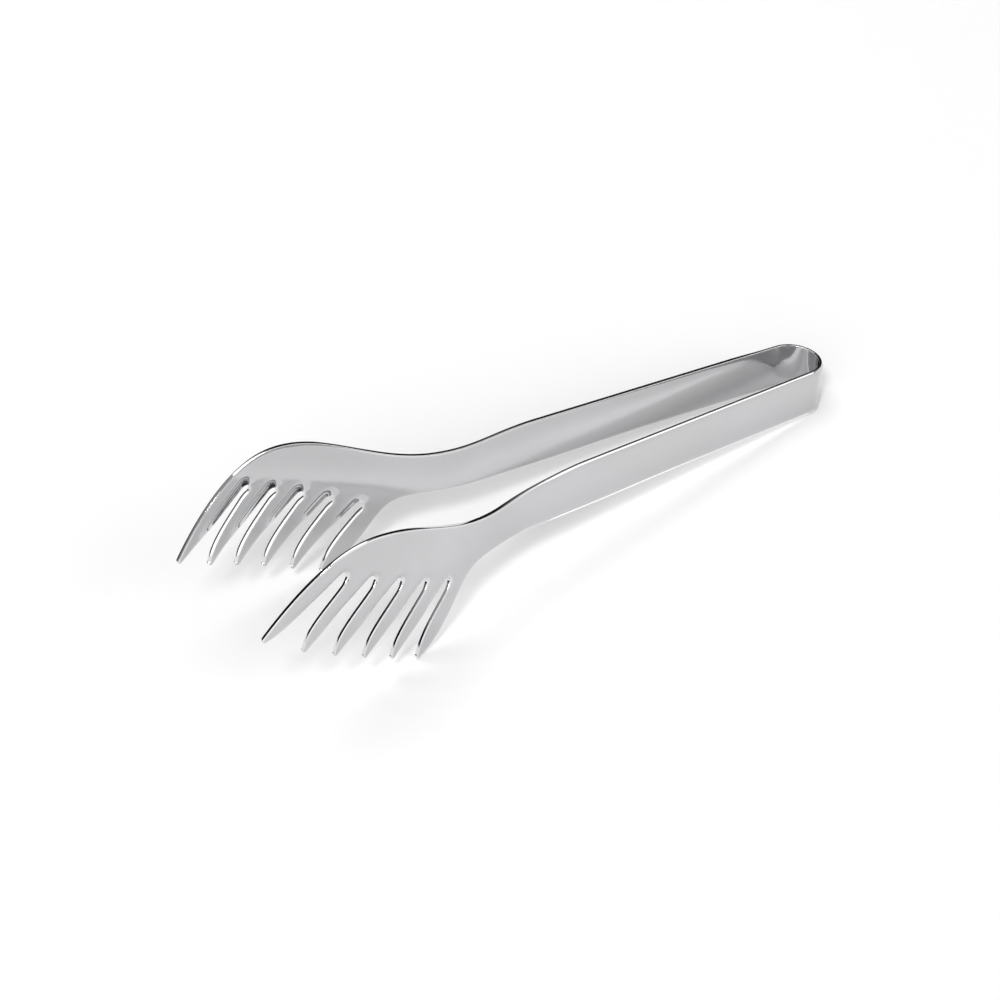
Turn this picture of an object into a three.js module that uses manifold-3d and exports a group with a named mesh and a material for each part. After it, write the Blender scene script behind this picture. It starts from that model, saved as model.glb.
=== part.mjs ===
// One-piece sprung serving tongs with two fork heads, in millimetres, +Z up.
// The tongs are drawn in their own frame: x runs from the bow to the heads, y runs outwards from
// the mid-plane and z runs up across the strip. They are then turned to lie as they rest on a table,
// on the lower edge of the bow and on the tips of the two hindmost tines, with the heads at -X.
import * as THREE from 'three';
import { mergeVertices } from 'three/addons/utils/BufferGeometryUtils.js';
import Module from 'manifold-3d';

const wasm = await Module();
wasm.setup();

// Sheet and strip
const sheetThickness = 1.3;
const bowStripTop = 15.1;
const shoulderStripTop = 15.5;
const lowerEdgeDrop = 0.6;
const neckTop = 12.9;

// Plan of one arm, from the crown of the bow to the tip of the foremost tine; angles in degrees
const bowCrown = 0.9;
const bowRadius = 8.8;
const armSplay = 2.5;
const handleLength = 112.1;
const neckBendRadius = 56;
const flareAngle = 15.9;
const flareLength = 20.8;
const cheekRadius = 119.5;
const noseRadius = 159;
const noseAngle = -17;
const arcStep = 1.5;
const bowArcStep = 5;

// Stations along x
const bowEnd = 12;
const lowerEdgeStart = 56;
const lowerEdgeEnd = 106;
const shoulderStation = 102;
const neckStation = 135.8;
const headJoint = 130;
const nodeGap = 0.3;

// Fork head, as [x, z]; tines and slots are counted from the nose back to the neck
const crown = [188.2, 26.75];
const noseTip = [222.3, 0.8];
const backCorner = [140.5, -0.65];
const backEdgeMiddle = [153.5, -7.5];
const tineCount = 6;
const firstShortTip = [210, -5.7];
const tinePitch = [-10.13, -4.4];
const tineTipHalfWidth = 0.85;
const tineTipSetback = 0.6;
const tinePointReach = 0.15;
const tipDirection = [0.6, -0.8];
const noseDirection = [0.75, -0.66];
const firstSlotEnd = [198.3, 16.3];
const slotPitch = [-9.83, -4.5];
const slotEndRadius = 1.6;
const slotLowerSideAngle = -52;
const slotUpperSideAngle = -41;
const slotWallReach = 9;
const curveDivisions = 9;
const slotEndDivisions = 8;

// Handles of the head's curves, each as [x, z] from the point that it shapes
const neckHandle = [19.8, 0];
const crownBackHandle = [-18.25, 0];
const crownFrontHandle = [14, 0];
const noseHandle = [-8.4, 12.2];
const noseBackHandle = [-4.6, 2.4];
const tineBackHandle = [-2.4, 3.2];
const tineFrontHandle = [-1, 7];
const lastTineHandle = [-6, 2.4];
const backEdgeFrontHandle = [3.6, -5.7];
const backEdgeRearHandle = [-2.8, 4.4];
const backCornerHandle = [8, 0];
const shoulderHandle = [12, 0];
const lowerEdgeHandle = [25, 0];

// Pose on the table, in degrees
const restPitch = 8.07;

// Longer than any half of the tongs is wide or tall, for solids that are cut to shape
const cutReach = 60;
const weldDistance = 1e-5;

const steel = { color: 0xc9cacc, metalness: 1, roughness: 0.14 };

const radians = (degrees) => (degrees * Math.PI) / 180;

// Mid-line of one arm in plan: a list of [x, y, heading], heading measured from the x axis.
function armPath() {
  const points = [];
  const splay = radians(armSplay);
  const right = Math.PI / 2;
  const bowSteps = Math.ceil((90 - armSplay) / bowArcStep);
  for (let i = 0; i <= bowSteps; i += 1) {
    const heading = right + ((splay - right) * i) / bowSteps;
    points.push([bowCrown + bowRadius * (1 - Math.sin(heading)), bowRadius * Math.cos(heading), heading]);
  }
  const straight = (length) => {
    const [x, y, heading] = points.at(-1);
    points.push([x + length * Math.cos(heading), y + length * Math.sin(heading), heading]);
  };
  const bend = (radius, toDegrees) => {
    const [x, y, from] = points.at(-1);
    const to = radians(toDegrees);
    const sense = Math.sign(to - from);
    const steps = Math.ceil(Math.abs(to - from) / radians(arcStep));
    for (let i = 1; i <= steps; i += 1) {
      const heading = from + ((to - from) * i) / steps;
      points.push([
        x + sense * radius * (Math.sin(heading) - Math.sin(from)),
        y - sense * radius * (Math.cos(heading) - Math.cos(from)),
        heading,
      ]);
    }
  };
  straight(handleLength);
  bend(neckBendRadius, flareAngle);
  straight(flareLength);
  bend(cheekRadius, 0);
  bend(noseRadius, noseAngle);
  return points;
}

// The whole sheet in plan, as thick as the sheet, from one head round the bow to the other.
function sheetPlan() {
  const half = sheetThickness / 2;
  const arm = armPath();
  const face = (offset) =>
    arm.map(([x, y, heading]) => [x - offset * Math.sin(heading), y + offset * Math.cos(heading)]);
  const mirrored = (side) => side.map(([x, y]) => [x, -y]);
  const outer = face(half);
  const inner = face(-half);
  return [
    ...mirrored(outer).reverse(),
    ...outer.slice(1),
    ...inner.reverse(),
    ...mirrored(inner).reverse().slice(1),
  ];
}

function toManifold(geometry) {
  const bare = new THREE.BufferGeometry();
  bare.setAttribute('position', geometry.getAttribute('position'));
  const merged = mergeVertices(bare, weldDistance);
  return new wasm.Manifold(
    new wasm.Mesh({
      numProp: 3,
      vertProperties: new Float32Array(merged.getAttribute('position').array),
      triVerts: new Uint32Array(merged.getIndex().array),
    }),
  );
}

function toGeometry(solid) {
  const mesh = solid.getMesh();
  const geometry = new THREE.BufferGeometry();
  geometry.setAttribute('position', new THREE.BufferAttribute(new Float32Array(mesh.vertProperties), 3));
  geometry.setIndex(new THREE.BufferAttribute(new Uint32Array(mesh.triVerts), 1));
  return geometry;
}

const toShape = (points) => new THREE.Shape(points.map(([a, b]) => new THREE.Vector2(a, b)));

// A plan outline drawn upwards, tall enough to hold the widest part of the head.
function upright(points) {
  const geometry = new THREE.ExtrudeGeometry(toShape(points), { depth: 2 * cutReach, bevelEnabled: false });
  geometry.translate(0, 0, -cutReach);
  return toManifold(geometry);
}

// A side outline drawn through the tongs, from yFrom to yTo.
function through(points, yFrom, yTo) {
  const geometry = new THREE.ExtrudeGeometry(toShape(points), { depth: yTo - yFrom, bevelEnabled: false });
  geometry.rotateX(Math.PI / 2);
  geometry.translate(0, yTo, 0);
  return toManifold(geometry);
}

const add = (a, b, scale = 1) => [a[0] + b[0] * scale, a[1] + b[1] * scale];
const subtract = (a, b) => add(a, b, -1);

// Points of a cubic curve, without its first one.
function curve(from, control1, control2, to) {
  const vector = ([a, b]) => new THREE.Vector2(a, b);
  const cubic = new THREE.CubicBezierCurve(vector(from), vector(control1), vector(control2), vector(to));
  return cubic.getPoints(curveDivisions).slice(1).map((point) => [point.x, point.y]);
}

// Upper and lower edge of the strip, from the bow to the neck.
function upperEdge() {
  const shoulder = [shoulderStation, shoulderStripTop];
  const neck = [neckStation, neckTop];
  return [
    [-sheetThickness, bowStripTop],
    shoulder,
    ...curve(shoulder, add(shoulder, shoulderHandle), subtract(neck, shoulderHandle), neck),
  ];
}

function lowerEdge() {
  const start = [lowerEdgeStart, 0];
  const end = [lowerEdgeEnd, -lowerEdgeDrop];
  return [
    [-sheetThickness, 0],
    start,
    ...curve(start, add(start, lowerEdgeHandle), subtract(end, lowerEdgeHandle), end),
    backCorner,
  ];
}

// The part of the strip's side outline between two stations.
function stripOutline(from, to) {
  const heightAt = (edge, x) => {
    const next = Math.max(1, edge.findIndex((point) => point[0] >= x));
    const [a, b] = [edge[next - 1], edge[next]];
    return [x, a[1] + ((b[1] - a[1]) * (x - a[0])) / (b[0] - a[0])];
  };
  const cut = (edge) => [
    heightAt(edge, from),
    ...edge.filter((point) => point[0] > from && point[0] < to),
    heightAt(edge, to),
  ];
  return [...cut(lowerEdge()), ...cut(upperEdge()).reverse()];
}

const tipOf = (tine) => (tine === 0 ? noseTip : add(firstShortTip, tinePitch, tine - 1));
const slotEnd = (slot) => add(firstSlotEnd, slotPitch, slot);

// The blunt end of a tine: where its front side ends, its point, and where its back side starts.
function tineEnd(tine) {
  const [u, w] = tine === 0 ? noseDirection : tipDirection;
  const base = add(tipOf(tine), [u, w], -tineTipSetback);
  return {
    front: add(base, [-w, u], tineTipHalfWidth),
    point: add(tipOf(tine), [u, w], tinePointReach),
    back: add(base, [-w, u], -tineTipHalfWidth),
  };
}

// The round end of a slot, from the back of one tine to the front of the next.
function slotEndArc(slot) {
  const from = radians(slotUpperSideAngle + 90);
  const to = radians(slotLowerSideAngle + 270);
  const points = [];
  for (let i = 0; i <= slotEndDivisions; i += 1) {
    const angle = from + ((to - from) * i) / slotEndDivisions;
    points.push(add(slotEnd(slot), [Math.cos(angle), Math.sin(angle)], slotEndRadius));
  }
  return points;
}

const direction = (degrees) => [Math.cos(radians(degrees)), Math.sin(radians(degrees))];

// Side outline of the fork head, from the neck over the crown, round the tines and back.
function headOutline() {
  const [neckBottom, , ...neckRest] = stripOutline(headJoint + nodeGap, neckStation);
  const neck = [neckStation, neckTop];
  const neckUpper = neckRest.reverse();
  const points = [neckBottom, ...neckUpper];
  points.push(...curve(neck, add(neck, neckHandle), add(crown, crownBackHandle), crown));
  const nose = tineEnd(0).front;
  points.push(...curve(crown, add(crown, crownFrontHandle), add(nose, noseHandle), nose));
  const slotBack = direction(slotUpperSideAngle);
  const slotFront = direction(slotLowerSideAngle);
  for (let tine = 0; tine < tineCount; tine += 1) {
    const end = tineEnd(tine);
    points.push(end.point, end.back);
    if (tine < tineCount - 1) {
      const arc = slotEndArc(tine);
      const [slotStart, slotFinish] = [arc[0], arc.at(-1)];
      const leave = add(end.back, tine === 0 ? noseBackHandle : tineBackHandle);
      points.push(...curve(end.back, leave, add(slotStart, slotBack, slotWallReach), slotStart));
      points.push(...arc.slice(1));
      const next = tineEnd(tine + 1).front;
      const arrive = add(next, tineFrontHandle);
      points.push(...curve(slotFinish, add(slotFinish, slotFront, slotWallReach), arrive, next));
    } else {
      const leave = add(end.back, lastTineHandle);
      points.push(...curve(end.back, leave, add(backEdgeMiddle, backEdgeFrontHandle), backEdgeMiddle));
    }
  }
  const towardNeck = add(backEdgeMiddle, backEdgeRearHandle);
  points.push(...curve(backEdgeMiddle, towardNeck, add(backCorner, backCornerHandle), backCorner));
  return points;
}

const sheet = upright(sheetPlan());

// Where each arm lies before the half turn, as [yFrom, yTo]
const sides = { front: [0, cutReach], rear: [-cutReach, 0] };

const group = new THREE.Group();
group.name = 'serving_tongs';

function addNode(name, solid) {
  const geometry = toGeometry(solid);
  // The heads point to -X: half a turn about Z, which also puts the drawn +y side at -Y.
  geometry.rotateZ(Math.PI);
  geometry.rotateY(radians(restPitch));
  const mesh = new THREE.Mesh(geometry, new THREE.MeshStandardMaterial(steel));
  mesh.name = name;
  group.add(mesh);
}

addNode('spring_bow', sheet.intersect(through(stripOutline(-sheetThickness, bowEnd), -cutReach, cutReach)));
for (const [side, [yFrom, yTo]] of Object.entries(sides)) {
  const arm = through(stripOutline(bowEnd + nodeGap, headJoint), yFrom, yTo);
  const head = through(headOutline(), yFrom, yTo);
  addNode(`${side}_arm`, sheet.intersect(arm));
  addNode(`${side}_fork_head`, sheet.intersect(head));
}

// Centre the tongs over the origin and stand them on Z = 0.
const bounds = new THREE.Box3().setFromObject(group);
const shift = new THREE.Vector3(
  -(bounds.min.x + bounds.max.x) / 2,
  -(bounds.min.y + bounds.max.y) / 2,
  -bounds.min.z,
);
for (const mesh of group.children) {
  mesh.geometry.translate(shift.x, shift.y, shift.z);
  mesh.geometry.computeVertexNormals();
}

export default group;
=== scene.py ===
import math

import bmesh
import bpy
import numpy as np
from mathutils import Matrix, Quaternion, Vector
from mathutils.geometry import delaunay_2d_cdt


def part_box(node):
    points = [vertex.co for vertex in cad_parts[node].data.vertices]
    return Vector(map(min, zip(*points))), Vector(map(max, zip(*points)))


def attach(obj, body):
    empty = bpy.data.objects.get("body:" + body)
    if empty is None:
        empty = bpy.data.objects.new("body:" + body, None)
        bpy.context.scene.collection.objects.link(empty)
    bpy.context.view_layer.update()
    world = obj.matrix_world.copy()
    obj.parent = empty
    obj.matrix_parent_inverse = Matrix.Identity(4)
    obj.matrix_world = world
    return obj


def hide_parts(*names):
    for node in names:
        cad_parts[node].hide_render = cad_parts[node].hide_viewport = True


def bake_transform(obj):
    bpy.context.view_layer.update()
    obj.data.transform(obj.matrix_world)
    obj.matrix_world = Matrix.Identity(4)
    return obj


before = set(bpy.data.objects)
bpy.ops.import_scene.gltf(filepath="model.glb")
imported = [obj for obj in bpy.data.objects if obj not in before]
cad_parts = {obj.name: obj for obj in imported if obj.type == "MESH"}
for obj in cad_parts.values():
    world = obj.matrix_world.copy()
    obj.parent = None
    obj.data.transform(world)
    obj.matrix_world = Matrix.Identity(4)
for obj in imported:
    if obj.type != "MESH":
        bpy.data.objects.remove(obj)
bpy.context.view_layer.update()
scene = bpy.context.scene

# The tongs' own frame, in millimetres: x runs from the bow to the heads, y outwards from the
# mid-plane and z up across the strip. ownToRow puts it on the table, in metres.

sheet = {
    "thickness": 1.3,
    "outerRadius": 0.16,    # rounds left on the edges by the polishing
    "innerRadius": 0.14,
    "edgeSteps": 4,
    # rings of points further in: round every edge, and where the sheet is wide enough
    "edgeRings": (0.25, 0.38, 0.52),
    "innerRings": (0.70, 0.88, 1.08, 1.30),
    "ringSlack": 0.02,
    "ringStart": 0.8,       # the inner rings start this far from the seam
    "seamSteps": 40,
    "creaseAngle": 50,      # degrees
    "rimSlack": 0.002,
    "wearWidth": 2.2,
    # how far each face falls away towards each kind of edge, over what width and how roundly
    "headFalls": {
        "outer": {"top": (0.07, 0.8, 2), "tip": (0.08, 1.0, 2), "slotBack": (0.06, 1.0, 2),
                  "slotFront": (0.03, 0.8, 2), "bottom": (0.10, 1.0, 2)},
        "inner": {"top": (0.03, 0.8, 2), "tip": (0.12, 0.8, 2), "slotBack": (0.06, 1.0, 2),
                  "slotFront": (0.25, 0.5, 1.2), "bottom": (0.34, 0.5, 1.2)},
        "rearInner": {"top": (0.03, 0.8, 2), "tip": (0.12, 0.8, 2), "slotBack": (0.06, 1.0, 2),
                      "slotFront": (0.66, 0.52, 1.2), "bottom": (0.34, 0.5, 1.2)},
    },
    "armFalls": {
        "outer": {"top": (0.50, 1.15, 1.3), "bottom": (-0.40, 0.9, 1.3)},
        "inner": {"top": (0.03, 0.8, 2), "bottom": (0.36, 0.9, 1.3)},
        "rearOuter": {"top": (0.05, 0.6, 2), "bottom": (-0.40, 0.9, 1.3)},
    },
    # where falls meet on a head they never add up to more than this
    "fallLimits": {"outer": 0.2, "inner": 0.46, "rearInner": 0.74},
    "armFade": (112, 136),  # the arms' edges turn into the heads' edges between these
    "rearFade": (13, 28),   # and the bow's top edge into the rear arm's
}
plan = {
    "bowCrown": 0.9,
    "bowRadius": 8.8,
    "armSplay": 2.5,        # angles in degrees
    "handleLength": 112.1,
    "neckBendRadius": 56,
    "flareAngle": 15.9,
    "flareLength": 20.8,
    "cheekRadius": 119.5,
    "noseRadius": 159,
    "noseAngle": -17,
    "restPitch": 8.07,
    "leadIn": 60,           # the mid-line is carried straight on past the bow, to soften evenly
    "pathStart": -20,
    "bendPoints": 60,
}
strip = {
    "seam": 12.15,          # where the bow piece meets the arm pieces
    "bowTop": 15.1,
    "topRiseStart": -1.3,
    "shoulder": (102, 15.5),
    "shoulderHandle": (12, 0),
    "neck": (135.8, 12.9),
    "dropStart": (56, 0),
    "dropEnd": (106, -0.6),
    "dropHandle": (25, 0),
    "flexEnd": 62,          # the arm bends from the seam to here when the tongs are squeezed
}


def stripTopAt(x):
    start, (endX, endZ) = strip["topRiseStart"], strip["shoulder"]
    return strip["bowTop"] + (endZ - strip["bowTop"]) * (x - start) / (endX - start)


bowLow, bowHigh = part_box("spring_bow")
pitch = math.radians(plan["restPitch"])
crownFace = plan["bowCrown"] - sheet["thickness"] / 2
place = Vector((
    bowHigh.x * 1000 + crownFace * math.cos(pitch) - stripTopAt(crownFace) * math.sin(pitch),
    0,
    bowLow.z * 1000 - crownFace * math.sin(pitch),
))
ownToRow = (
    Matrix.Translation(place / 1000)
    @ Matrix.Rotation(pitch, 4, "Y")
    @ Matrix.Rotation(math.pi, 4, "Z")
    @ Matrix.Scale(0.001, 4)
)

# ---- shader groups shared by the two finishes


def addNode(tree, kind, inputs=None, **settings):
    node = tree.nodes.new(kind)
    for name, value in settings.items():
        setattr(node, name, value)
    for name, value in (inputs or {}).items():
        if isinstance(value, bpy.types.NodeSocket):
            tree.links.new(value, node.inputs[name])
        else:
            node.inputs[name].default_value = value
    return node


def newGroup(name, kind, inputs, outputs):
    group = bpy.data.node_groups.new(name, kind)
    for label, socketType, value in inputs:
        socket = group.interface.new_socket(label, in_out="INPUT", socket_type=socketType)
        if value is not None:
            socket.default_value = value
    for label, socketType in outputs:
        group.interface.new_socket(label, in_out="OUTPUT", socket_type=socketType)
    return group, group.nodes.new("NodeGroupInput"), group.nodes.new("NodeGroupOutput")


def mathNode(tree, operation, first, second=None, third=None):
    node = tree.nodes.new("ShaderNodeMath")
    node.operation = operation
    for socket, value in zip(node.inputs, (first, second, third)):
        if isinstance(value, bpy.types.NodeSocket):
            tree.links.new(value, socket)
        elif value is not None:
            socket.default_value = value
    return node.outputs[0]


def mixColours(tree, factor, first, second):
    node = addNode(tree, "ShaderNodeMix", {"Factor": factor}, data_type="RGBA")
    sockets = [socket for socket in node.inputs if socket.type == "RGBA"]
    for socket, value in zip(sockets, (first, second)):
        if isinstance(value, bpy.types.NodeSocket):
            tree.links.new(value, socket)
        else:
            socket.default_value = value
    return next(socket for socket in node.outputs if socket.type == "RGBA")


# Fine lines left by the polishing wheel: noise drawn out along the strip, in two lengths.
def makePolishLines():
    group, given, result = newGroup(
        "polishLines", "ShaderNodeTree",
        [("Vector", "NodeSocketVector", None),
         ("Lines Across", "NodeSocketFloat", 5200.0),
         ("Lines Along", "NodeSocketFloat", 120.0)],
        [("Fine", "NodeSocketFloat"), ("Sparse", "NodeSocketFloat")])
    across, along = given.outputs["Lines Across"], given.outputs["Lines Along"]
    stretch = addNode(group, "ShaderNodeCombineXYZ", {"X": along, "Y": across, "Z": across})
    drawn = addNode(group, "ShaderNodeVectorMath", operation="MULTIPLY")
    group.links.new(given.outputs["Vector"], drawn.inputs[0])
    group.links.new(stretch.outputs[0], drawn.inputs[1])
    fine = addNode(group, "ShaderNodeTexNoise",
                   {"Vector": drawn.outputs[0], "Scale": 1.0, "Detail": 3.0, "Roughness": 0.6})
    sparse = addNode(group, "ShaderNodeTexNoise",
                     {"Vector": drawn.outputs[0], "Scale": 0.22, "Detail": 2.0, "Roughness": 0.5})
    scratches = addNode(group, "ShaderNodeMapRange",
                        {"Value": sparse.outputs["Fac"], "From Min": 0.66, "From Max": 0.74})
    group.links.new(fine.outputs["Fac"], result.inputs["Fine"])
    group.links.new(scratches.outputs[0], result.inputs["Sparse"])
    return group


# Broad unevenness of rolled sheet that has been bent and buffed, and the haze left by handling.
def makeHandling():
    group, given, result = newGroup(
        "handling", "ShaderNodeTree",
        [("Vector", "NodeSocketVector", None),
         ("Ripple Scale", "NodeSocketFloat", 55.0),
         ("Haze Scale", "NodeSocketFloat", 28.0)],
        [("Ripple", "NodeSocketFloat"), ("Haze", "NodeSocketFloat")])
    vector = given.outputs["Vector"]
    ripple = addNode(group, "ShaderNodeTexNoise",
                     {"Vector": vector, "Scale": given.outputs["Ripple Scale"],
                      "Detail": 1.0, "Roughness": 0.35})
    haze = addNode(group, "ShaderNodeTexNoise",
                   {"Vector": vector, "Scale": given.outputs["Haze Scale"],
                    "Detail": 5.0, "Roughness": 0.6, "Distortion": 0.4})
    softened = addNode(group, "ShaderNodeMapRange",
                       {"Value": haze.outputs["Fac"], "From Min": 0.35, "From Max": 0.75},
                       interpolation_type="SMOOTHSTEP")
    group.links.new(ripple.outputs["Fac"], result.inputs["Ripple"])
    group.links.new(softened.outputs[0], result.inputs["Haze"])
    return group


# Rubbed edges: strongest on the edge itself, broken up by noise further in.
def makeEdgeWear():
    group, given, result = newGroup(
        "edgeWear", "ShaderNodeTree",
        [("Vector", "NodeSocketVector", None), ("Near Edge", "NodeSocketFloat", 0.0),
         ("Break Up", "NodeSocketFloat", 900.0)],
        [("Wear", "NodeSocketFloat")])
    grain = addNode(group, "ShaderNodeTexNoise",
                    {"Vector": given.outputs["Vector"], "Scale": given.outputs["Break Up"],
                     "Detail": 4.0, "Roughness": 0.65})
    edge = mathNode(group, "POWER", given.outputs["Near Edge"], 2.0)
    broken = mathNode(group, "MULTIPLY", edge, grain.outputs["Fac"])
    wear = addNode(group, "ShaderNodeMapRange",
                   {"Value": broken, "From Min": 0.12, "From Max": 0.6})
    group.links.new(wear.outputs[0], result.inputs["Wear"])
    return group


polishLines, handling, edgeWear = makePolishLines(), makeHandling(), makeEdgeWear()

faceFinish = {
    "colour": (0.555, 0.555, 0.566, 1), "hazeColour": (0.53, 0.53, 0.537, 1),
    "wornColour": (0.62, 0.62, 0.625, 1),
    "roughness": (0.025, 0.055), "lineRoughness": 0.02, "wearRoughness": 0.04,
    "rippleHeight": 0.00012, "lineHeight": 0.0000006,
}
# Steel for the rims: a little rougher than the faces, and painted lighter in colour, a painted highlight
# that makes the rounded edges read as bright lines.
rimFinishWithPaintedHighlight = {
    "colour": (0.66, 0.66, 0.67, 1), "hazeColour": (0.62, 0.62, 0.63, 1),
    "wornColour": (0.74, 0.74, 0.745, 1),
    "roughness": (0.035, 0.07), "lineRoughness": 0.02, "wearRoughness": 0.03,
    "rippleHeight": 0.00004, "lineHeight": 0.0000008,
}


def groupNode(tree, group, inputs):
    node = tree.nodes.new("ShaderNodeGroup")
    node.node_tree = group
    for name, value in inputs.items():
        if isinstance(value, bpy.types.NodeSocket):
            tree.links.new(value, node.inputs[name])
        else:
            node.inputs[name].default_value = value
    return node


def makeSteel(name, finish):
    material = bpy.data.materials.new(name)
    material.use_nodes = True
    tree = material.node_tree
    tree.nodes.clear()
    position = addNode(tree, "ShaderNodeTexCoord").outputs["Object"]
    nearEdge = addNode(tree, "ShaderNodeAttribute", attribute_name="nearEdge").outputs["Fac"]
    lines = groupNode(tree, polishLines, {"Vector": position})
    handled = groupNode(tree, handling, {"Vector": position})
    worn = groupNode(tree, edgeWear, {"Vector": position, "Near Edge": nearEdge})

    hazed = mixColours(tree, handled.outputs["Haze"], finish["colour"], finish["hazeColour"])
    rubbed = mixColours(tree, worn.outputs["Wear"], hazed, finish["wornColour"])

    low, high = finish["roughness"]
    rough = mathNode(tree, "MULTIPLY_ADD", handled.outputs["Haze"], high - low, low)
    rough = mathNode(tree, "MULTIPLY_ADD", lines.outputs["Fine"], finish["lineRoughness"], rough)
    rough = mathNode(tree, "MULTIPLY_ADD", worn.outputs["Wear"], finish["wearRoughness"], rough)

    ripple = mathNode(tree, "MULTIPLY", handled.outputs["Ripple"], finish["rippleHeight"])
    scratch = mathNode(tree, "ADD", lines.outputs["Fine"], lines.outputs["Sparse"])
    height = mathNode(tree, "MULTIPLY_ADD", scratch, finish["lineHeight"], ripple)
    bump = addNode(tree, "ShaderNodeBump", {"Height": height, "Strength": 1.0, "Distance": 1.0})
    shader = addNode(tree, "ShaderNodeBsdfPrincipled",
                     {"Base Color": rubbed, "Roughness": rough,
                      "Normal": bump.outputs["Normal"], "Metallic": 1.0})
    output = tree.nodes.new("ShaderNodeOutputMaterial")
    tree.links.new(shader.outputs[0], output.inputs["Surface"])
    return material


faceSteel = makeSteel("polishedSteelFaces", faceFinish)
# the rim steel carries the painted highlight on the edges
rimSteelWithPaintedHighlight = makeSteel("rimSteelPaintedHighlight", rimFinishWithPaintedHighlight)
print("finishes made:", faceSteel.name, rimSteelWithPaintedHighlight.name)

# ---- plan and section of the sheet


# How far the round of an edge drops below the face at a distance in from the edge.
def edgeDrop(face, inset):
    radius = sheet["outerRadius"] if face > 0 else sheet["innerRadius"]
    corner = np.clip(1 - np.asarray(inset, float) / radius, 0, 1)
    return radius * (1 - np.sqrt(1 - corner ** 2))


# How far a face falls away, from the distances to each kind of edge.
def fallTowards(falls, limit, distances):
    left = 1.0
    for kind, (depth, width, power) in falls.items():
        if kind in distances:
            near = np.clip(1 - distances[kind] / width, 0, 1)
            left = left * (1 - depth * near ** power / limit)
    return limit * (1 - left)


def eased(x, start, end):
    share = np.clip((x - start) / (end - start), 0, 1)
    return share ** 2 * (3 - 2 * share)


# The rear arm differs from the front one in its top edge, and its head in the tines' edges.
def faceFall(face, side, distances, x):
    name = "outer" if face > 0 else "inner"
    onHead = "rearInner" if name == "inner" and side < 0 else name
    fall = fallTowards(sheet["armFalls"][name], sheet["thickness"], distances)
    if name == "outer" and side < 0:
        rear = fallTowards(sheet["armFalls"]["rearOuter"], sheet["thickness"], distances)
        fall = fall + (rear - fall) * eased(x, *sheet["rearFade"])
    headFall = fallTowards(sheet["headFalls"][onHead], sheet["fallLimits"][onHead], distances)
    return fall + (headFall - fall) * eased(x, *sheet["armFade"])


# Mid-line of one arm, as y at even steps of x, with the change of curvature softened.
def armMidLine(step=0.25, soften=8.0):
    splay, flare = math.radians(plan["armSplay"]), math.radians(plan["flareAngle"])
    x = plan["bowCrown"] + plan["bowRadius"] * (1 - math.sin(splay))
    y = plan["bowRadius"] * math.cos(splay)
    leadIn = plan["leadIn"]
    points = [(x - leadIn * math.cos(splay), y - leadIn * math.sin(splay)), (x, y)]

    def straight(length, heading):
        lastX, lastY = points[-1]
        points.append((lastX + length * math.cos(heading), lastY + length * math.sin(heading)))

    def bend(radius, start, end):
        lastX, lastY = points[-1]
        sense = math.copysign(1, end - start)
        for heading in np.linspace(start, end, plan["bendPoints"])[1:]:
            points.append((lastX + sense * radius * (math.sin(heading) - math.sin(start)),
                           lastY - sense * radius * (math.cos(heading) - math.cos(start))))

    straight(plan["handleLength"], splay)
    bend(plan["neckBendRadius"], splay, flare)
    straight(plan["flareLength"], flare)
    bend(plan["cheekRadius"], flare, 0)
    bend(plan["noseRadius"], 0, math.radians(plan["noseAngle"]))
    known = np.array(points)
    xs = np.arange(plan["pathStart"], known[-1, 0], step)
    ys = np.interp(xs, known[:, 0], known[:, 1])
    width = int(soften / step) | 1
    for _ in range(2):
        middle = np.convolve(ys, np.ones(width) / width, "valid")
        edge = width // 2
        ys = np.concatenate([ys[:edge], middle, ys[-edge:]])
    return xs, ys, np.gradient(ys, step)


midX, midY, midSlope = armMidLine()


# Points of the sheet, offset square to its mid-line, outwards where the offset is positive.
def onSheet(x, z, offset):
    heading = np.arctan(np.interp(x, midX, midSlope))
    y = np.interp(x, midX, midY) + offset * np.cos(heading)
    return np.stack([x - offset * np.sin(heading), y, z], axis=-1)


# ---- side outline of one arm with its fork head

head = {
    "neckHandle": (19.8, 0),
    "crown": (188.2, 26.75),
    "crownBackHandle": (-18.25, 0),
    "crownFrontHandle": (14, 0),
    "noseHandle": (-8.4, 12.2),
    "noseTip": (222.3, 0.8),
    "noseDirection": (0.75, -0.66),
    "tines": 6,
    "firstShortTip": (210, -5.7),
    "tinePitch": (-10.13, -4.4),
    "tineDirection": (0.6, -0.8),
    "tipHalfWidth": 0.85,
    "tipSetback": 0.6,
    "tipRoundness": 1.0,
    "firstSlotEnd": (198.3, 16.3),
    "slotPitch": (-9.83, -4.5),
    "slotEndRadius": 1.6,
    "slotEndPoints": 15,
    "slotUpperAngle": -41,
    "slotLowerAngle": -52,
    "slotWallReach": 9,
    "noseBackHandle": (-4.6, 2.4),
    "tineBackHandle": (-2.4, 3.2),
    "tineFrontHandle": (-1, 7),
    "lastTineHandle": (-6, 2.4),
    "backEdgeMiddle": (153.5, -7.5),
    "backFrontHandle": (3.6, -5.7),
    "backRearHandle": (-2.8, 4.4),
    "backCorner": (140.5, -0.65),
    "backCornerHandle": (8, 0),
    # the lip pressed inwards round each slot's end and up its upper side: how far in, how
    # wide, and how far down each slot it reaches
    "lipDepth": (0.72, 0.76, 0.72, 0.6, 0.5),
    "lipWidth": 3.0,
    "lipReach": (24, 22, 17, 13, 12),
    "outlineSpacing": 0.36,
    "tipSpacing": 0.22,
    "armSpacing": 1.5,
    "meshSpacing": 0.5,
    "rowShare": 0.866,      # rows of points are this share of their spacing apart
    "fineBand": 3.0,        # the mesh is finer within this distance of an edge
    "weldDistance": 1e-5,
}


def plus(a, b, scale=1.0):
    return (a[0] + b[0] * scale, a[1] + b[1] * scale)


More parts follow.
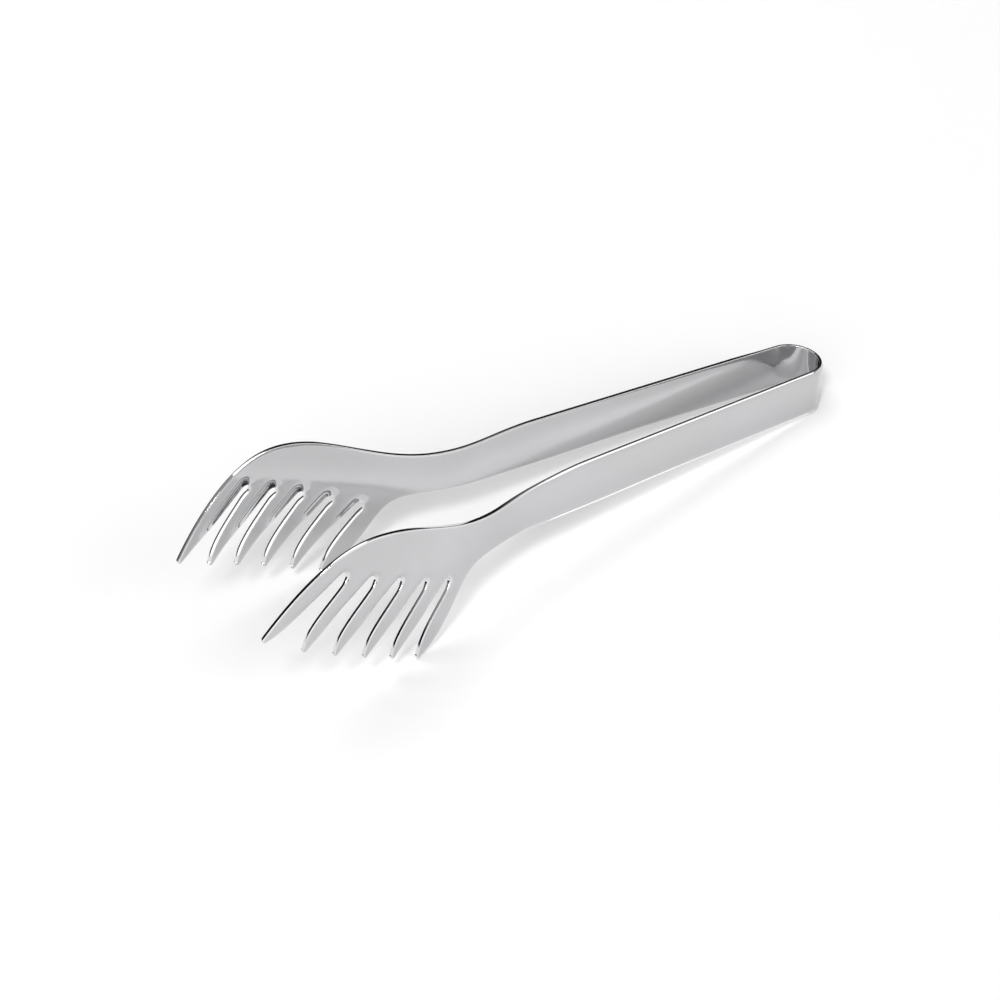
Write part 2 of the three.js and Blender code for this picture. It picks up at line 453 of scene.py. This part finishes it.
# Points of a cubic curve without its first one, evenly enough spaced.
def curveTo(start, control1, control2, end, spacing):
    corners = np.array([start, control1, control2, end], float)
    length = np.linalg.norm(np.diff(corners, axis=0), axis=1).sum()
    t = np.linspace(0, 1, max(4, math.ceil(length / spacing)) + 1)[1:, None]
    a, b, c, d = corners
    points = (1 - t) ** 3 * a + 3 * (1 - t) ** 2 * t * b + 3 * (1 - t) * t ** 2 * c + t ** 3 * d
    return [tuple(point) for point in points]


def lineTo(start, end, spacing):
    steps = max(1, math.ceil(math.dist(start, end) / spacing))
    return [plus(start, (end[0] - start[0], end[1] - start[1]), (i + 1) / steps) for i in range(steps)]


def direction(degrees):
    return (math.cos(math.radians(degrees)), math.sin(math.radians(degrees)))


# The rounded end of a tine: its start on the front side, its points, its end on the back side.
def tineEnd(tine):
    tip = head["noseTip"] if tine == 0 else plus(head["firstShortTip"], head["tinePitch"], tine - 1)
    u, w = head["noseDirection"] if tine == 0 else head["tineDirection"]
    base = plus(tip, (u, w), -head["tipSetback"])
    front = plus(base, (-w, u), head["tipHalfWidth"])
    back = plus(base, (-w, u), -head["tipHalfWidth"])
    ahead = (u * head["tipRoundness"], w * head["tipRoundness"])
    points = curveTo(front, plus(front, ahead), plus(back, ahead), back, head["tipSpacing"])
    return front, points, back


# From the back of a tine up its slot, round the slot's end and down to the next tine.
def slotOutline(tine, back, spacing):
    centre = plus(head["firstSlotEnd"], head["slotPitch"], tine)
    start, end = head["slotUpperAngle"] + 90, head["slotLowerAngle"] + 270
    angles = np.linspace(start, end, head["slotEndPoints"])
    arc = [plus(centre, direction(angle), head["slotEndRadius"]) for angle in angles]
    upper, lower = direction(head["slotUpperAngle"]), direction(head["slotLowerAngle"])
    leave = plus(back, head["noseBackHandle"] if tine == 0 else head["tineBackHandle"])
    upperSide = curveTo(back, leave, plus(arc[0], upper, head["slotWallReach"]), arc[0], spacing)
    front = tineEnd(tine + 1)[0]
    arrive = plus(front, head["tineFrontHandle"])
    lowerSide = curveTo(arc[-1], plus(arc[-1], lower, head["slotWallReach"]), arrive, front, spacing)
    return upperSide + arc[1:], lowerSide


# Along the top from the seam to the nose, round the tines and back along the bottom, with the
# kind of edge that each step belongs to.
def sideOutline():
    fine, coarse = head["outlineSpacing"], head["armSpacing"]
    shoulder, neck, crown = strip["shoulder"], strip["neck"], head["crown"]
    start = (strip["seam"], stripTopAt(strip["seam"]))
    points, kinds = [start], []

    def go(kind, steps):
        points.extend(steps)
        kinds.extend([kind] * len(steps))

    ease = strip["shoulderHandle"]
    front, tip, back = tineEnd(0)
    go("top", lineTo(start, shoulder, coarse))
    go("top", curveTo(shoulder, plus(shoulder, ease), plus(neck, ease, -1), neck, coarse))
    go("top", curveTo(neck, plus(neck, head["neckHandle"]),
                      plus(crown, head["crownBackHandle"]), crown, fine))
    go("top", curveTo(crown, plus(crown, head["crownFrontHandle"]),
                      plus(front, head["noseHandle"]), front, fine))
    for tine in range(head["tines"]):
        front, tip, back = tineEnd(tine)
        go("tip", tip)
        if tine < head["tines"] - 1:
            upperSide, lowerSide = slotOutline(tine, back, fine)
            go("slotBack", upperSide)
            go("slotFront", lowerSide)
    middle, corner = head["backEdgeMiddle"], head["backCorner"]
    go("bottom", curveTo(back, plus(back, head["lastTineHandle"]),
                         plus(middle, head["backFrontHandle"]), middle, fine))
    go("bottom", curveTo(middle, plus(middle, head["backRearHandle"]),
                         plus(corner, head["backCornerHandle"]), corner, fine))
    dropStart, dropEnd, ease = strip["dropStart"], strip["dropEnd"], strip["dropHandle"]
    go("bottom", lineTo(corner, dropEnd, coarse))
    go("bottom", curveTo(dropEnd, plus(dropEnd, ease, -1), plus(dropStart, ease), dropStart, coarse))
    go("bottom", lineTo(dropStart, (strip["seam"], 0), coarse))
    return np.array(points), np.array(kinds)


# Unit vectors into the metal, square to the outline; straight up or down at the seam.
def inwardNormals(outline):
    along = np.empty_like(outline)
    steps = np.diff(outline, axis=0)
    steps /= np.linalg.norm(steps, axis=1)[:, None]
    along[1:-1] = steps[1:] + steps[:-1]
    along[0], along[-1] = (1, 0), (-1, 0)
    along /= np.linalg.norm(along, axis=1)[:, None]
    return np.stack([along[:, 1], -along[:, 0]], axis=1)


def distanceToSteps(points, start, step):
    lengths = (step ** 2).sum(1)
    nearest = np.empty(len(points))
    for first in range(0, len(points), 1000):
        block = points[first:first + 1000, None, :]
        t = np.clip(((block - start) * step).sum(2) / lengths, 0, 1)[..., None]
        nearest[first:first + 1000] = np.linalg.norm(block - start - t * step, axis=2).min(1)
    return nearest


def insideOutline(points, outline):
    closed = np.vstack([outline, outline[:1]])
    (x0, z0), (x1, z1) = closed[:-1].T, closed[1:].T
    px, pz = points[:, 0, None], points[:, 1, None]
    crosses = (z0 > pz) != (z1 > pz)
    rise = np.where(z1 == z0, 1, z1 - z0)
    return (crosses & (px < x0 + (pz - z0) * (x1 - x0) / rise)).sum(1) % 2 == 1


# The distance from each point to every kind of edge.
def edgeDistances(points, outline, kinds):
    start, step = outline[:-1], np.diff(outline, axis=0)
    return {kind: distanceToSteps(points, start[kinds == kind], step[kinds == kind])
            for kind in np.unique(kinds)}


# How far the sheet is pressed inwards at each point by the lips round the slots.
def lipDepthAt(points):
    depth = np.zeros(len(points))
    for slot in range(head["tines"] - 1):
        back = tineEnd(slot)[2]
        side = np.array([back] + slotOutline(slot, back, head["outlineSpacing"])[0])
        centre = plus(head["firstSlotEnd"], head["slotPitch"], slot)
        aside = distanceToSteps(points, side[:-1], np.diff(side, axis=0))
        near = np.clip(1 - aside / head["lipWidth"], 0, 1)
        along = np.clip(2 - 2 * np.linalg.norm(points - centre, axis=1) / head["lipReach"][slot], 0, 1)
        depth += head["lipDepth"][slot] * near ** 2 * along ** 2 * (3 - 2 * along)
    return depth


# Points spread inside the outline, in staggered rows, closer together near the edges.
def innerPoints(outline):
    spacing = head["meshSpacing"]
    lowest, highest = outline.min(0), outline.max(0)
    rows = np.arange(int((highest[1] - lowest[1]) / (spacing * head["rowShare"])) + 1)
    columns = np.arange(int((highest[0] - lowest[0]) / spacing) + 1)
    row, column = np.meshgrid(rows, columns, indexing="ij")
    x = lowest[0] + (column + 0.5 + 0.5 * (row % 2)) * spacing
    z = lowest[1] + (row + 0.5) * spacing * head["rowShare"]
    points = np.stack([x.ravel(), z.ravel()], axis=1)
    sparse = ((row % 2 == 0) & (column % 2 == 0)).ravel()
    inside = insideOutline(points, outline)
    points, sparse = points[inside], sparse[inside]
    inset = distanceToSteps(points, outline[:-1], np.diff(outline, axis=0))
    keep = (inset > sheet["innerRings"][-1] + 0.5 * spacing) & ((inset < head["fineBand"]) | sparse)
    return points[keep]


# Rings of points along the edges, left out where the sheet is too narrow for them.
def innerRings(outline, normals):
    steps = np.diff(outline, axis=0)
    rings = []
    for inset in sheet["innerRings"]:
        ring = outline + normals * inset
        roomy = distanceToSteps(ring, outline[:-1], steps) > inset - sheet["ringSlack"]
        rings.append(ring[roomy & (ring[:, 0] > strip["seam"] + sheet["ringStart"])])
    return np.vstack(rings)


# The strip's section at the seam, as a closed loop of [across, z] round the bow: down the outer
# face, through the lower edge, up the inner face and over the top.
# The rings round an edge: [distance in from the edge, face], from the outer face to the inner.
edgeTurn = 1 - np.sin(np.linspace(0, math.pi / 2, sheet["edgeSteps"] + 1))
section = [(inset, 1) for inset in sheet["edgeRings"][::-1]]
section += [(inset, 1) for inset in sheet["outerRadius"] * edgeTurn]
section += [(inset, -1) for inset in sheet["innerRadius"] * edgeTurn[::-1]]
section += [(inset, -1) for inset in sheet["edgeRings"]]


# Heights across the broad face at the seam, closer together near the edges.
def seamHeights(bottom, top):
    share = 0.5 - 0.5 * np.cos(np.linspace(0, math.pi, sheet["seamSteps"])[1:-1])
    return bottom + (top - bottom) * share


def surfaceOffset(face, side, inset, distances, x):
    fall = edgeDrop(face, inset) + faceFall(face, side, distances, x)
    return face * (sheet["thickness"] / 2 - fall)


# One arm with its head as a closed mesh in the own frame; side is 1 for the front arm, at +y,
# and -1 for the rear arm.
def armMesh(name, side):
    outline, kinds = sideOutline()
    normals = inwardNormals(outline)
    count, wide = len(outline), len(section)

    coordinates, nearness = [], []
    for inset, face in section:
        ring = outline + normals * inset
        distances = edgeDistances(ring, outline, kinds)
        offset = surfaceOffset(face, side, inset, distances, ring[:, 0]) - lipDepthAt(ring)
        coordinates.append(onSheet(ring[:, 0], ring[:, 1], offset))
        nearness.append(np.full(count, 1 - inset / sheet["wearWidth"]))

    rim = outline + normals * sheet["edgeRings"][-1]
    seamZ = seamHeights(rim[-1, 1], rim[0, 1])
    seam = np.stack([np.full(len(seamZ), strip["seam"]), seamZ], axis=1)
    flat = np.vstack([seam, innerRings(outline, normals), innerPoints(outline)])
    distances = edgeDistances(flat, outline, kinds)
    flatInset = np.min(list(distances.values()), axis=0)
    for face in (1, -1):
        offset = surfaceOffset(face, side, sheet["edgeRings"][-1], distances, flat[:, 0])
        coordinates.append(onSheet(flat[:, 0], flat[:, 1], offset - lipDepthAt(flat)))
        nearness.append(np.clip(1 - flatInset / sheet["wearWidth"], 0, 1))

    loop = list(range(count)) + [count + i for i in range(len(seam))]
    sites = [Vector(point) for point in np.vstack([rim, flat])]
    _, _, triangles, origins, _, _ = delaunay_2d_cdt(sites, [], [loop], 1, head["weldDistance"])
    original = [min(group) for group in origins]

    rimFaces = []
    for j in range(wide - 1):
        for i in range(count - 1):
            corner, across = j * count + i, (j + 1) * count + i
            rimFaces.append((corner, corner + 1, across + 1, across))
    broadFaces = []
    for ringIndex, offset in ((0, wide * count), (wide - 1, wide * count + len(flat))):
        for triangle in triangles:
            corners = [original[corner] for corner in triangle]
            broadFaces.append(tuple(
                ringIndex * count + corner if corner < count else offset + corner - count
                for corner in corners))
    outerSeam = [wide * count + i for i in range(len(seam))]
    innerSeam = [wide * count + len(flat) + i for i in range(len(seam))]
    cap = [j * count + count - 1 for j in range(wide)] + innerSeam
    cap += [j * count for j in range(wide - 1, -1, -1)] + outerSeam[::-1]

    vertices = np.vstack(coordinates) * (1, side, 1)
    mesh = bpy.data.meshes.new(name)
    mesh.from_pydata(vertices.tolist(), [], rimFaces + broadFaces + [tuple(cap)])
    near = mesh.attributes.new("nearEdge", "FLOAT", "POINT")
    near.data.foreach_set("value", np.concatenate(nearness).astype(np.float32))
    mesh.materials.append(faceSteel)
    # the rim faces get the rim steel, which is painted lighter as a highlight
    mesh.materials.append(rimSteelWithPaintedHighlight)
    mesh.polygons.foreach_set("material_index", [1] * len(rimFaces) + [0] * (len(broadFaces) + 1))
    return mesh


# Puts a mesh on the table as an object, smooth all over but for the flat ends at the seams.
def finishPiece(name, mesh):
    mesh.transform(ownToRow)
    work = bmesh.new()
    work.from_mesh(mesh)
    bmesh.ops.recalc_face_normals(work, faces=work.faces)
    for face in work.faces:
        face.smooth = True
    for edge in work.edges:
        edge.smooth = edge.calc_face_angle(0) < math.radians(sheet["creaseAngle"])
    openEdges = sum(not edge.is_manifold for edge in work.edges)
    work.to_mesh(mesh)
    work.free()
    piece = bpy.data.objects.new(name, mesh)
    scene.collection.objects.link(piece)
    print(name, "made:", len(mesh.polygons), "faces,", openEdges, "open edges")
    return piece


# ---- the bow: a rounded strip section swept round the bend by a geometry nodes tree

bow = {
    "Radius": plan["bowRadius"],
    "Crown": plan["bowCrown"],
    "Half Turn": math.radians(90 - plan["armSplay"]),
    "Rise": stripTopAt(1) / stripTopAt(0) - 1,      # the strip gets higher by this share a mm
    "Seam": strip["seam"],
}
bowSteps = 121


# The section loop at the seam as a mesh of edges. It is drawn half a turn round, outwards as -x
# and up as -y, which is how the sweep along the path wants it.
def sectionLoop():
    top = stripTopAt(strip["seam"])
    loop = []

    def step(height, inset, face):
        distances = {"top": np.array([top - height]), "bottom": np.array([height])}
        offset = surfaceOffset(face, 1, inset, distances, strip["seam"])[0]
        loop.append((-float(offset), -height, 0.0))

    heights = seamHeights(sheet["edgeRings"][-1], top - sheet["edgeRings"][-1])
    for inset, face in section:
        step(float(inset), inset, face)
    for height in heights:
        step(float(height), sheet["edgeRings"][-1], -1)
    for inset, face in section[::-1]:
        step(float(top - inset), inset, face)
    for height in heights[::-1]:
        step(float(height), sheet["edgeRings"][-1], 1)
    mesh = bpy.data.meshes.new("bowSection")
    mesh.from_pydata(loop, [(i, (i + 1) % len(loop)) for i in range(len(loop))], [])
    near = mesh.attributes.new("nearEdge", "FLOAT", "POINT")
    near.data.foreach_set("value", [
        max(0.0, 1 - min(-y, top + y) / sheet["wearWidth"]) for _, y, _ in loop])
    return mesh


def makeBowTree():
    sockets = [("Section", "NodeSocketGeometry", None)]
    sockets += [(name, "NodeSocketFloat", float(value)) for name, value in bow.items()]
    sockets += [("Half Length", "NodeSocketFloat", 16.0), ("Material", "NodeSocketMaterial", None)]
    tree, given, result = newGroup("bentStrip", "GeometryNodeTree", sockets,
                                   [("Geometry", "NodeSocketGeometry")])
    value = given.outputs

    def maths(operation, first, second=None, third=None):
        return mathNode(tree, operation, first, second, third)

    # path: length runs from -Half Length to Half Length, round the arc and out along both arms
    line = addNode(tree, "GeometryNodeCurvePrimitiveLine")
    path = addNode(tree, "GeometryNodeResampleCurve", {"Curve": line.outputs[0], "Count": bowSteps})
    share = addNode(tree, "GeometryNodeSplineParameter").outputs["Factor"]
    length = maths("MULTIPLY", maths("MULTIPLY_ADD", share, 2.0, -1.0), value["Half Length"])
    angle = maths("DIVIDE", length, value["Radius"])
    angle = maths("MAXIMUM", angle, maths("MULTIPLY", value["Half Turn"], -1.0))
    angle = maths("MINIMUM", angle, value["Half Turn"])
    onArc = maths("MULTIPLY", maths("ABSOLUTE", angle), value["Radius"])
    beyond = maths("MAXIMUM", maths("SUBTRACT", maths("ABSOLUTE", length), onArc), 0.0)
    turned = maths("SUBTRACT", 1.0, maths("COSINE", angle))
    x = maths("MULTIPLY_ADD", turned, value["Radius"], value["Crown"])
    x = maths("MULTIPLY_ADD", beyond, maths("ABSOLUTE", maths("SINE", angle)), x)
    y = maths("MULTIPLY", maths("SINE", angle), value["Radius"])
    outward = maths("MULTIPLY", maths("SIGN", angle), maths("COSINE", angle))
    y = maths("MULTIPLY_ADD", beyond, outward, y)
    at = addNode(tree, "ShaderNodeCombineXYZ", {"X": x, "Y": y})
    bent = addNode(tree, "GeometryNodeSetPosition",
                   {"Geometry": path.outputs[0], "Position": at.outputs[0]})

    profile = addNode(tree, "GeometryNodeMeshToCurve", {"Mesh": value["Section"]})
    swept = addNode(tree, "GeometryNodeCurveToMesh",
                    {"Curve": bent.outputs[0], "Profile Curve": profile.outputs[0], "Fill Caps": True})
    # the strip's height grows evenly from the crown to the seam
    spot = addNode(tree, "ShaderNodeSeparateXYZ",
                   {"Vector": addNode(tree, "GeometryNodeInputPosition").outputs[0]})
    growth = maths("MULTIPLY_ADD", maths("SUBTRACT", spot.outputs["X"], value["Seam"]), value["Rise"], 1.0)
    grown = addNode(tree, "ShaderNodeCombineXYZ",
                    {"X": spot.outputs["X"], "Y": spot.outputs["Y"],
                     "Z": maths("MULTIPLY", spot.outputs["Z"], growth)})
    raised = addNode(tree, "GeometryNodeSetPosition",
                     {"Geometry": swept.outputs[0], "Position": grown.outputs[0]})
    real = addNode(tree, "GeometryNodeRealizeInstances", {"Geometry": raised.outputs[0]})
    painted = addNode(tree, "GeometryNodeSetMaterial",
                      {"Geometry": real.outputs[0], "Material": value["Material"]})
    tree.links.new(painted.outputs[0], result.inputs["Geometry"])
    return tree


def makeBow():
    seed = bpy.data.objects.new("bowSection", sectionLoop())
    scene.collection.objects.link(seed)
    tree = makeBowTree()
    modifier = seed.modifiers.new("bentStrip", "NODES")
    modifier.node_group = tree
    arc = plan["bowRadius"] * bow["Half Turn"]
    endX = plan["bowCrown"] + plan["bowRadius"] * (1 - math.cos(bow["Half Turn"]))
    given = dict(bow)
    given["Half Length"] = arc + (strip["seam"] - endX) / math.sin(bow["Half Turn"])
    given["Material"] = faceSteel
    for item in tree.interface.items_tree:
        if item.in_out == "INPUT" and item.name in given:
            modifier[item.identifier] = given[item.name]
    evaluated = seed.evaluated_get(bpy.context.evaluated_depsgraph_get())
    mesh = bpy.data.meshes.new_from_object(evaluated)
    seed.modifiers.remove(modifier)
    bpy.data.objects.remove(seed)
    mesh.name = "bow"
    return mesh


# Gives the faces next to the bow's two edges the arms' rim steel, whose lighter colour is a painted
# highlight.
def paintBowRimHighlight(mesh):
    mesh.materials.append(rimSteelWithPaintedHighlight)
    near = mesh.attributes["nearEdge"].data
    rim = sheet["edgeRings"][-1] + sheet["rimSlack"]
    innermost = 1 - rim / sheet["wearWidth"]
    for polygon in mesh.polygons:
        onEdge = min(near[vertex].value for vertex in polygon.vertices) > innermost
        polygon.material_index = 1 if onEdge else 0


bowMesh = makeBow()
paintBowRimHighlight(bowMesh)
bowPiece = finishPiece("bow_strip", bowMesh)
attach(bowPiece, "bow")
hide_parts("spring_bow")

for sideName, side in (("front", 1), ("rear", -1)):
    arm = finishPiece(f"{sideName}_arm_and_head", armMesh(f"{sideName}Arm", side))
    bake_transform(arm)
    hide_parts(f"{sideName}_arm", f"{sideName}_fork_head")

# ---- floor, light and camera

stage = {
    "size": 3.0,
    "colour": (0.96, 0.96, 0.96, 1), "grain": (0.94, 0.94, 0.94, 1), "grainScale": 90.0,
    "roughness": 0.9, "shine": 0.1,
}
light = {
    "dark": 0.012, "sky": 0.36,
    # the far side of the studio is dark higher up: height less this share of the way back
    "backShare": 0.6, "backRise": (0.12, 0.36),
    "horizon": (0.02, 0.14),
    # soft cards on the dome: direction, half width in degrees, softness, strength
    "cards": [((0.42, -0.80, 0.38), 26, 9, 1.6), ((-0.75, -0.58, 0.30), 28, 9, 1.7)],
    # lamps: place, size, power
    "lamps": {
        "keySoftbox": ((-1.214, -1.095, 2.02), 0.42, 22),
        "overSoftbox": ((0.05, 0.50, 1.25), 0.9, 6.4),
    },
}
view = {
    "aim": (0.01635, 0.04168, -0.02298), "turn": 34.79, "elevation": 39.18,
    "roll": -2.78, "distance": 1.1088, "lens": 126, "sensor": 36,
}


def makeFloor():
    half = stage["size"] / 2
    mesh = bpy.data.meshes.new("floor")
    corners = [(-half, -half, 0), (half, -half, 0), (half, half, 0), (-half, half, 0)]
    mesh.from_pydata(corners, [], [(0, 1, 2, 3)])
    material = bpy.data.materials.new("paleTable")
    material.use_nodes = True
    tree = material.node_tree
    shader = tree.nodes["Principled BSDF"]
    position = addNode(tree, "ShaderNodeTexCoord").outputs["Object"]
    grain = addNode(tree, "ShaderNodeTexNoise",
                    {"Vector": position, "Scale": stage["grainScale"], "Detail": 4.0})
    colour = mixColours(tree, grain.outputs["Fac"], stage["colour"], stage["grain"])
    tree.links.new(colour, shader.inputs["Base Color"])
    shader.inputs["Roughness"].default_value = stage["roughness"]
    shader.inputs["Specular IOR Level"].default_value = stage["shine"]
    mesh.materials.append(material)
    floor = bpy.data.objects.new("floor", mesh)
    scene.collection.objects.link(floor)


def makeLight():
    world = bpy.data.worlds.new("studio")
    world.use_nodes = True
    scene.world = world
    tree = world.node_tree
    background = tree.nodes["Background"]
    toward = addNode(tree, "ShaderNodeTexCoord").outputs["Generated"]
    height = addNode(tree, "ShaderNodeSeparateXYZ", {"Vector": toward}).outputs["Z"]

    def ramp(amount, low, high, fromValue, toValue):
        return addNode(tree, "ShaderNodeMapRange",
                       {"Value": amount, "From Min": low, "From Max": high,
                        "To Min": fromValue, "To Max": toValue},
                       interpolation_type="SMOOTHSTEP").outputs[0]

    # 1 inside a cone round a direction and 0 outside it
    def cone(axis, halfWidth, softness, inside, outside):
        dot = addNode(tree, "ShaderNodeVectorMath", {0: toward, 1: Vector(axis).normalized()},
                      operation="DOT_PRODUCT").outputs["Value"]
        outer, inner = math.radians(halfWidth + softness / 2), math.radians(halfWidth - softness / 2)
        return ramp(dot, math.cos(outer), math.cos(inner), outside, inside)

    back = addNode(tree, "ShaderNodeSeparateXYZ", {"Vector": toward}).outputs["Y"]
    raised = mathNode(tree, "MULTIPLY_ADD", back, -light["backShare"], height)
    glow = ramp(raised, *light["backRise"], light["dark"], light["sky"])
    glow = mathNode(tree, "MULTIPLY", glow, ramp(height, *light["horizon"], light["dark"], 1.0))
    for axis, halfWidth, softness, strength in light["cards"]:
        glow = mathNode(tree, "ADD", glow, cone(axis, halfWidth, softness, strength, 0.0))
    tree.links.new(glow, background.inputs["Strength"])
    background.inputs["Color"].default_value = (1, 1, 1, 1)
    for name, (spot, size, power) in light["lamps"].items():
        data = bpy.data.lights.new(name, "AREA")
        data.energy, data.size = power, size
        lamp = bpy.data.objects.new(name, data)
        lamp.location = spot
        lamp.rotation_mode = "QUATERNION"
        lamp.rotation_quaternion = (-Vector(spot)).to_track_quat("-Z", "Y")
        scene.collection.objects.link(lamp)


def makeCamera():
    turn, elevation = math.radians(view["turn"]), math.radians(view["elevation"])
    looking = Vector((
        math.sin(turn) * math.cos(elevation), math.cos(turn) * math.cos(elevation), -math.sin(elevation)))
    data = bpy.data.cameras.new("camera")
    data.lens, data.sensor_width = view["lens"], view["sensor"]
    camera = bpy.data.objects.new("camera", data)
    camera.location = Vector(view["aim"]) - looking * view["distance"]
    camera.rotation_mode = "QUATERNION"
    camera.rotation_quaternion = (
        looking.to_track_quat("-Z", "Y") @ Quaternion((0, 0, 1), math.radians(view["roll"])))
    scene.collection.objects.link(camera)
    scene.camera = camera


makeFloor()
makeLight()
makeCamera()
scene.view_settings.view_transform = "Standard"
print("floor, light and camera made")
